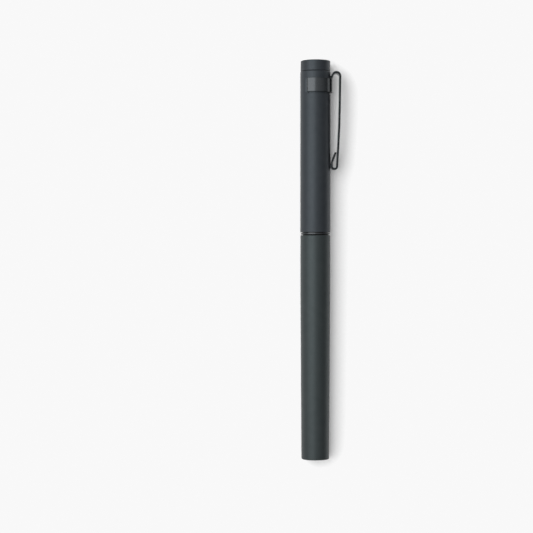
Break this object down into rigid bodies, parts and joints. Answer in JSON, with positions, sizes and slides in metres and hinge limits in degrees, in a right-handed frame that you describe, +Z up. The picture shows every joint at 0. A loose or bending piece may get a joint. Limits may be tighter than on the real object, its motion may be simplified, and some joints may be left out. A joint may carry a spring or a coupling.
{
  "type": "fountain pen",
  "caption": "Slim capped fountain pen: matt tapered metal body, sprung looped clip, ribbed grip, split nib and screw converter inside.",
  "frame": {"origin": "centre of the barrel's flat tail face, on the pen's axis", "axes": "+Y along the pen towards the nib and cap top, +X towards the clip, +Z up out of the nib's top face"},
  "size_m": [0.0141, 0.1375, 0.0118],
  "materials": {
    "matt_charcoal": "fine matt anodised coating",
    "matt_charcoal_barrel": "fine matt anodised coating",
    "clip_black": "satin black coated spring steel",
    "dark_chrome": "polished black-nickel plate",
    "grip_plastic": "satin blue-black moulded plastic",
    "black_plastic": "moulded black plastic",
    "nib_steel": "polished stainless steel",
    "spring_steel": "drawn spring steel",
    "chrome": "bright chrome",
    "clear_plastic": "clear moulded plastic",
    "rubber": "nitrile rubber",
    "seal_plastic": "white soft plastic"
  },
  "bodies": {
    "section": {"grip_section": "grip_plastic", "section_collar": "dark_chrome", "nib_housing": "black_plastic", "nib": "nib_steel", "nib_tipping": "nib_steel", "feed": "black_plastic"},
    "snap_ring": {"snap_ring": "spring_steel"},
    "cap": {"cap_tube": "matt_charcoal", "cap_finial": "matt_charcoal", "inner_cap": "black_plastic", "cap_screw": "spring_steel", "lock_washer": "spring_steel", "clip_band": "clip_black"},
    "clip": {"clip_arm": "clip_black"},
    "o_ring": {"barrel_o_ring": "rubber"},
    "barrel": {"barrel_tube": "matt_charcoal_barrel"},
    "converter": {"converter_tube": "clear_plastic", "converter_ring": "chrome", "converter_nut": "black_plastic"},
    "knob": {"converter_knob": "black_plastic"},
    "piston": {"piston_rod": "black_plastic", "piston_seal": "seal_plastic"}
  },
  "joints": [
    {"name": "cap_pull", "type": "slide", "parent": "section", "child": "snap_ring", "axis": [0, 1, 0], "range_m": [0, 0.062]},
    {"name": "cap_turn", "type": "hinge", "parent": "snap_ring", "child": "cap", "pos_m": [0, 0.079, 0], "axis": [0, 1, 0], "continuous": true},
    {"name": "clip_flex", "type": "hinge", "parent": "cap", "child": "clip", "pos_m": [0.00718, 0.13383, 0], "axis": [0, 0, 1], "range_deg": [0, 4.5], "stiffness_Nm_per_rad": 1.2},
    {"name": "barrel_turn", "type": "hinge", "parent": "section", "child": "o_ring", "pos_m": [0, 0.07675, 0], "axis": [0, 1, 0], "range_deg": [0, 1800]},
    {"name": "barrel_pull", "type": "slide", "parent": "o_ring", "child": "barrel", "axis": [0, -1, 0], "range_m": [0, 0.085]},
    {"name": "converter_pull", "type": "slide", "parent": "section", "child": "converter", "axis": [0, -1, 0], "range_m": [0, 0.007]},
    {"name": "knob_turn", "type": "hinge", "parent": "converter", "child": "knob", "pos_m": [0, 0.02, 0], "axis": [0, 1, 0], "range_deg": [0, 2881]},
    {"name": "piston_travel", "type": "slide", "parent": "converter", "child": "piston", "axis": [0, 1, 0], "range_m": [0, 0.024]}
  ],
  "couplings": [
    {"joint": "knob_turn", "follows": "piston_travel", "rad_per_m": 2094.4}
  ]
}
